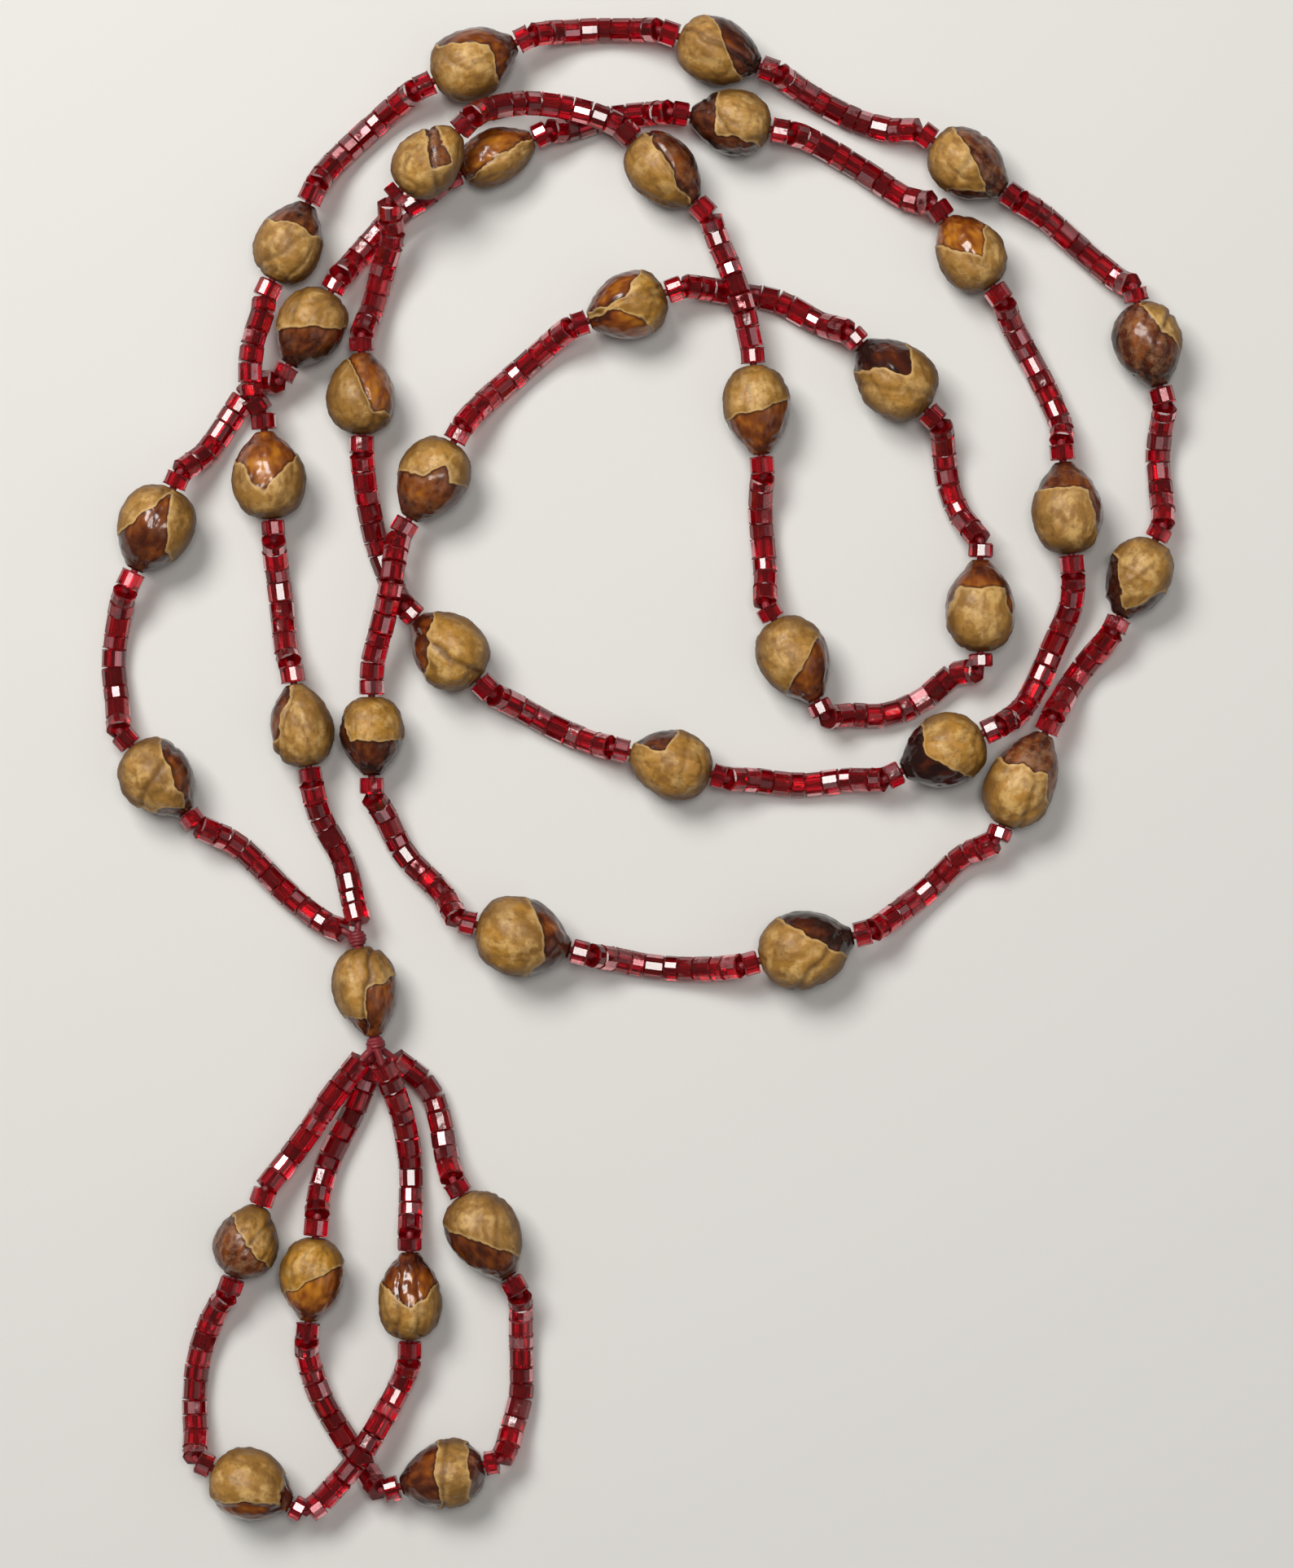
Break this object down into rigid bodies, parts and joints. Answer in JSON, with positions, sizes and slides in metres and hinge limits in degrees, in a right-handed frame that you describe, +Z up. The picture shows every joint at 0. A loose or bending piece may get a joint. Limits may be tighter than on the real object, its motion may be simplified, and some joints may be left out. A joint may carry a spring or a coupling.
{
  "type": "seed and glass bead rosary",
  "caption": "Rosary of drilled juniper seeds and short cut glass beads on a doubled thread, closed by a connector seed with two crossed bead loops below it.",
  "frame": {"origin": "middle of the whole piece's outline as it lies, on the surface under it", "axes": "+Y along the strand's long way, from the bead loops to the strand's far end; +Z up from the surface; +X to the right seen from above"},
  "size_m": [0.0999, 0.139, 0.0098],
  "materials": {
    "seed_shell": "half matte, half glossy natural seed shell",
    "ruby_glass": "transparent ruby glass, lustred and cut with flat sides",
    "thread": "doubled nylon beading thread"
  },
  "bodies": {
    "strand": {"main_thread": "thread", "glass_beads_01": "ruby_glass", "glass_beads_02": "ruby_glass", "glass_beads_03": "ruby_glass", "glass_beads_04": "ruby_glass", "glass_beads_05": "ruby_glass", "glass_beads_06": "ruby_glass", "glass_beads_07": "ruby_glass", "glass_beads_08": "ruby_glass", "glass_beads_09": "ruby_glass", "glass_beads_10": "ruby_glass", "glass_beads_11": "ruby_glass", "glass_beads_12": "ruby_glass", "glass_beads_13": "ruby_glass", "glass_beads_14": "ruby_glass", "glass_beads_15": "ruby_glass", "glass_beads_16": "ruby_glass"},
    "pendant": {"knot_thread": "thread"},
    "connector_seed": {"connector_seed": "seed_shell"},
    "lower_loop": {"lower_loop_thread": "thread", "lower_loop_beads": "ruby_glass"},
    "upper_loop": {"upper_loop_thread": "thread", "upper_loop_beads": "ruby_glass"},
    "seed_01": {"seed_01": "seed_shell"},
    "seed_02": {"seed_02": "seed_shell"},
    "seed_03": {"seed_03": "seed_shell"},
    "seed_04": {"seed_04": "seed_shell"},
    "seed_05": {"seed_05": "seed_shell"},
    "seed_06": {"seed_06": "seed_shell"},
    "seed_07": {"seed_07": "seed_shell"},
    "seed_08": {"seed_08": "seed_shell"},
    "seed_09": {"seed_09": "seed_shell"},
    "seed_10": {"seed_10": "seed_shell"},
    "seed_11": {"seed_11": "seed_shell"},
    "seed_12": {"seed_12": "seed_shell"},
    "seed_13": {"seed_13": "seed_shell"},
    "seed_14": {"seed_14": "seed_shell"},
    "seed_15": {"seed_15": "seed_shell"},
    "seed_16": {"seed_16": "seed_shell"},
    "seed_17": {"seed_17": "seed_shell"},
    "seed_18": {"seed_18": "seed_shell"},
    "seed_19": {"seed_19": "seed_shell"},
    "seed_20": {"seed_20": "seed_shell"},
    "seed_21": {"seed_21": "seed_shell"},
    "seed_22": {"seed_22": "seed_shell"},
    "seed_23": {"seed_23": "seed_shell"},
    "seed_24": {"seed_24": "seed_shell"},
    "seed_25": {"seed_25": "seed_shell"},
    "seed_26": {"seed_26": "seed_shell"},
    "seed_27": {"seed_27": "seed_shell"},
    "seed_28": {"seed_28": "seed_shell"},
    "seed_29": {"seed_29": "seed_shell"},
    "seed_30": {"seed_30": "seed_shell"},
    "seed_31": {"seed_31": "seed_shell"},
    "lower_loop_seed_1": {"lower_loop_seed_1": "seed_shell"},
    "lower_loop_seed_2": {"lower_loop_seed_2": "seed_shell"},
    "lower_loop_seed_3": {"lower_loop_seed_3": "seed_shell"},
    "upper_loop_seed_1": {"upper_loop_seed_1": "seed_shell"},
    "upper_loop_seed_2": {"upper_loop_seed_2": "seed_shell"},
    "upper_loop_seed_3": {"upper_loop_seed_3": "seed_shell"}
  },
  "joints": [
    {"name": "pendant_swing", "type": "hinge", "parent": "strand", "child": "pendant", "pos_m": [-0.02636, -0.01563, 0.0032], "axis": [0, 0, 1], "range_deg": [-20, 20]},
    {"name": "connector_seed_spin", "type": "hinge", "parent": "pendant", "child": "connector_seed", "pos_m": [-0.0255, -0.0205, 0.0032], "axis": [0.1736, -0.9848, 0], "continuous": true},
    {"name": "lower_loop_lift", "type": "hinge", "parent": "pendant", "child": "lower_loop", "pos_m": [-0.02464, -0.02537, 0.0032], "axis": [-1, 0, 0], "range_deg": [0, 30]},
    {"name": "upper_loop_lift", "type": "hinge", "parent": "lower_loop", "child": "upper_loop", "pos_m": [-0.02464, -0.02537, 0.0032], "axis": [-1, 0, 0], "range_deg": [0, 25]},
    {"name": "seed_01_spin", "type": "hinge", "parent": "strand", "child": "seed_01", "pos_m": [-0.0445, -0.001, 0.0035], "axis": [-0.6428, 0.766, 0], "continuous": true},
    {"name": "seed_02_spin", "type": "hinge", "parent": "strand", "child": "seed_02", "pos_m": [-0.045, 0.022, 0.0037], "axis": [0.4226, 0.9063, 0], "continuous": true},
    {"name": "seed_03_spin", "type": "hinge", "parent": "strand", "child": "seed_03", "pos_m": [-0.0307, 0.0405, 0.0034], "axis": [0.5, 0.866, 0], "continuous": true},
    {"name": "seed_04_spin", "type": "hinge", "parent": "strand", "child": "seed_04", "pos_m": [-0.0135, 0.0565, 0.0028], "axis": [0.9063, 0.4226, 0], "continuous": true},
    {"name": "seed_05_spin", "type": "hinge", "parent": "strand", "child": "seed_05", "pos_m": [0.008, 0.0595, 0.0032], "axis": [0.9848, -0.1736, 0], "continuous": true},
    {"name": "seed_06_spin", "type": "hinge", "parent": "strand", "child": "seed_06", "pos_m": [0.03, 0.0475, 0.0033], "axis": [0.5736, -0.8192, 0], "continuous": true},
    {"name": "seed_07_spin", "type": "hinge", "parent": "strand", "child": "seed_07", "pos_m": [0.039, 0.024, 0.0035], "axis": [0.0872, -0.9962, 0], "continuous": true},
    {"name": "seed_08_spin", "type": "hinge", "parent": "strand", "child": "seed_08", "pos_m": [0.0275, 0.0015, 0.0036], "axis": [-0.9063, -0.4226, 0], "continuous": true},
    {"name": "seed_09_spin", "type": "hinge", "parent": "strand", "child": "seed_09", "pos_m": [0.0025, 0.0005, 0.0034], "axis": [-0.9659, 0.2588, 0], "continuous": true},
    {"name": "seed_10_spin", "type": "hinge", "parent": "strand", "child": "seed_10", "pos_m": [-0.018, 0.011, 0.0036], "axis": [-0.7071, 0.7071, 0], "continuous": true},
    {"name": "seed_11_spin", "type": "hinge", "parent": "strand", "child": "seed_11", "pos_m": [-0.0259, 0.0345, 0.0034], "axis": [0, 1, 0], "continuous": true},
    {"name": "seed_12_spin", "type": "hinge", "parent": "strand", "child": "seed_12", "pos_m": [-0.0195, 0.0555, 0.0067], "axis": [0.7002, 0.7002, 0.1392], "continuous": true},
    {"name": "seed_13_spin", "type": "hinge", "parent": "strand", "child": "seed_13", "pos_m": [0.002, 0.055, 0.0033], "axis": [0.7071, -0.7071, 0], "continuous": true},
    {"name": "seed_14_spin", "type": "hinge", "parent": "strand", "child": "seed_14", "pos_m": [0.0105, 0.033, 0.0033], "axis": [0.0872, -0.9962, 0], "continuous": true},
    {"name": "seed_15_spin", "type": "hinge", "parent": "strand", "child": "seed_15", "pos_m": [0.014, 0.01, 0.0035], "axis": [0.4695, -0.8829, 0], "continuous": true},
    {"name": "seed_16_spin", "type": "hinge", "parent": "strand", "child": "seed_16", "pos_m": [0.031, 0.015, 0.0035], "axis": [0, 1, 0], "continuous": true},
    {"name": "seed_17_spin", "type": "hinge", "parent": "strand", "child": "seed_17", "pos_m": [0.023, 0.036, 0.0037], "axis": [-0.7071, 0.7071, 0], "continuous": true},
    {"name": "seed_18_spin", "type": "hinge", "parent": "strand", "child": "seed_18", "pos_m": [-0.0015, 0.0425, 0.0034], "axis": [-0.9397, -0.342, 0], "continuous": true},
    {"name": "seed_19_spin", "type": "hinge", "parent": "strand", "child": "seed_19", "pos_m": [-0.0195, 0.0265, 0.0035], "axis": [-0.5, -0.866, 0], "continuous": true},
    {"name": "seed_20_spin", "type": "hinge", "parent": "strand", "child": "seed_20", "pos_m": [-0.025, 0.003, 0.0032], "axis": [0, -1, 0], "continuous": true},
    {"name": "seed_21_spin", "type": "hinge", "parent": "strand", "child": "seed_21", "pos_m": [-0.011, -0.0155, 0.0039], "axis": [0.9659, -0.2588, 0], "continuous": true},
    {"name": "seed_22_spin", "type": "hinge", "parent": "strand", "child": "seed_22", "pos_m": [0.015, -0.0165, 0.0038], "axis": [0.9659, 0.2588, 0], "continuous": true},
    {"name": "seed_23_spin", "type": "hinge", "parent": "strand", "child": "seed_23", "pos_m": [0.035, -0.001, 0.0034], "axis": [0.4226, 0.9063, 0], "continuous": true},
    {"name": "seed_24_spin", "type": "hinge", "parent": "strand", "child": "seed_24", "pos_m": [0.0455, 0.0175, 0.0032], "axis": [0.4226, 0.9063, 0], "continuous": true},
    {"name": "seed_25_spin", "type": "hinge", "parent": "strand", "child": "seed_25", "pos_m": [0.0465, 0.039, 0.0034], "axis": [-0.2588, 0.9659, 0], "continuous": true},
    {"name": "seed_26_spin", "type": "hinge", "parent": "strand", "child": "seed_26", "pos_m": [0.03, 0.0555, 0.0033], "axis": [-0.8192, 0.5736, 0], "continuous": true},
    {"name": "seed_27_spin", "type": "hinge", "parent": "strand", "child": "seed_27", "pos_m": [0.007, 0.066, 0.0033], "axis": [-0.9397, 0.342, 0], "continuous": true},
    {"name": "seed_28_spin", "type": "hinge", "parent": "strand", "child": "seed_28", "pos_m": [-0.0155, 0.065, 0.0035], "axis": [-0.9063, -0.4226, 0], "continuous": true},
    {"name": "seed_29_spin", "type": "hinge", "parent": "strand", "child": "seed_29", "pos_m": [-0.0325, 0.0485, 0.0033], "axis": [-0.4226, -0.9063, 0], "continuous": true},
    {"name": "seed_30_spin", "type": "hinge", "parent": "strand", "child": "seed_30", "pos_m": [-0.0345, 0.027, 0.0036], "axis": [0.0872, -0.9962, 0], "continuous": true},
    {"name": "seed_31_spin", "type": "hinge", "parent": "strand", "child": "seed_31", "pos_m": [-0.0315, 0.004, 0.0031], "axis": [0.1736, -0.9848, 0], "continuous": true},
    {"name": "lower_loop_seed_1_spin", "type": "hinge", "parent": "lower_loop", "child": "lower_loop_seed_1", "pos_m": [-0.0305, -0.047, 0.0032], "axis": [-0.0872, -0.9962, 0], "continuous": true},
    {"name": "lower_loop_seed_2_spin", "type": "hinge", "parent": "lower_loop", "child": "lower_loop_seed_2", "pos_m": [-0.0185, -0.065, 0.0033], "axis": [0.9659, 0.2588, 0], "continuous": true},
    {"name": "lower_loop_seed_3_spin", "type": "hinge", "parent": "lower_loop", "child": "lower_loop_seed_3", "pos_m": [-0.0145, -0.043, 0.0035], "axis": [-0.5, 0.866, 0], "continuous": true},
    {"name": "upper_loop_seed_1_spin", "type": "hinge", "parent": "upper_loop", "child": "upper_loop_seed_1", "pos_m": [-0.0365, -0.0435, 0.0032], "axis": [-0.342, -0.9397, 0], "continuous": true},
    {"name": "upper_loop_seed_2_spin", "type": "hinge", "parent": "upper_loop", "child": "upper_loop_seed_2", "pos_m": [-0.036, -0.066, 0.0035], "axis": [0.9063, -0.4226, 0], "continuous": true},
    {"name": "upper_loop_seed_3_spin", "type": "hinge", "parent": "upper_loop", "child": "upper_loop_seed_3", "pos_m": [-0.0215, -0.0485, 0.0031], "axis": [0, 1, 0], "continuous": true}
  ]
}
